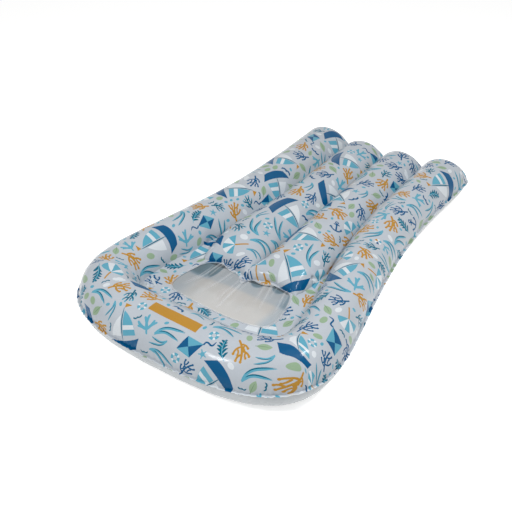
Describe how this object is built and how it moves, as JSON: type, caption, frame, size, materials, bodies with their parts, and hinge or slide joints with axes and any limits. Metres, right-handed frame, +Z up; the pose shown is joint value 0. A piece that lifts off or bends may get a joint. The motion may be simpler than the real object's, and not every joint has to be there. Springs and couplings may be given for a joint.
{
  "type": "pool air mattress",
  "caption": "Inflatable children's pool mattress of lengthwise tubes, with a rounded head, a clear viewing window and push-in valves.",
  "frame": {"origin": "on the floor, under the middle of the outline", "axes": "+Y along the length from the rounded head to the foot, +X across to the right-hand tube as the head faces the viewer, +Z up"},
  "size_m": [0.7066, 1.212, 0.1483],
  "materials": {
    "printed_film": "glossy printed soft PVC film",
    "plain_film": "glossy plain soft PVC film",
    "clear_film": "clear soft PVC film",
    "valve_white": "white moulded soft PVC",
    "valve_clear": "thin milky soft PVC"
  },
  "bodies": {
    "mattress": {"top_sheet": "printed_film", "bottom_sheet": "plain_film", "window_sheet": "clear_film", "outer_valve_base": "valve_white", "outer_valve_sleeve": "valve_clear", "inner_valve_base": "valve_white", "inner_valve_sleeve": "valve_clear"},
    "outer_stem": {"outer_valve_stem": "valve_white", "outer_valve_strap": "valve_white"},
    "outer_plug": {"outer_valve_plug": "valve_white"},
    "outer_flap": {"outer_valve_flap": "valve_clear"},
    "inner_stem": {"inner_valve_stem": "valve_white", "inner_valve_strap": "valve_white"},
    "inner_plug": {"inner_valve_plug": "valve_white"},
    "inner_flap": {"inner_valve_flap": "valve_clear"}
  },
  "joints": [
    {"name": "outer_stem_pull", "type": "slide", "parent": "mattress", "child": "outer_stem", "axis": [0.028, 0.8187, -0.5736], "range_m": [0, 0.016], "deforming": ["outer_valve_sleeve"]},
    {"name": "outer_plug_pull", "type": "slide", "parent": "outer_stem", "child": "outer_plug", "axis": [0.028, 0.8187, -0.5736], "range_m": [0, 0.009], "deforming": ["outer_valve_strap"]},
    {"name": "outer_flap_swing", "type": "hinge", "parent": "outer_stem", "child": "outer_flap", "pos_m": [0.21217, 0.57624, 0.0434], "axis": [-0.9994, 0.0342, 0], "range_deg": [0, 55]},
    {"name": "inner_stem_pull", "type": "slide", "parent": "mattress", "child": "inner_stem", "axis": [0, 0.8192, -0.5736], "range_m": [0, 0.016], "deforming": ["inner_valve_sleeve"]},
    {"name": "inner_plug_pull", "type": "slide", "parent": "inner_stem", "child": "inner_plug", "axis": [0, 0.8192, -0.5736], "range_m": [0, 0.009], "deforming": ["inner_valve_strap"]},
    {"name": "inner_flap_swing", "type": "hinge", "parent": "inner_stem", "child": "inner_flap", "pos_m": [-0.06779, 0.56317, 0.04885], "axis": [-1, 0, 0], "range_deg": [0, 55]}
  ]
}
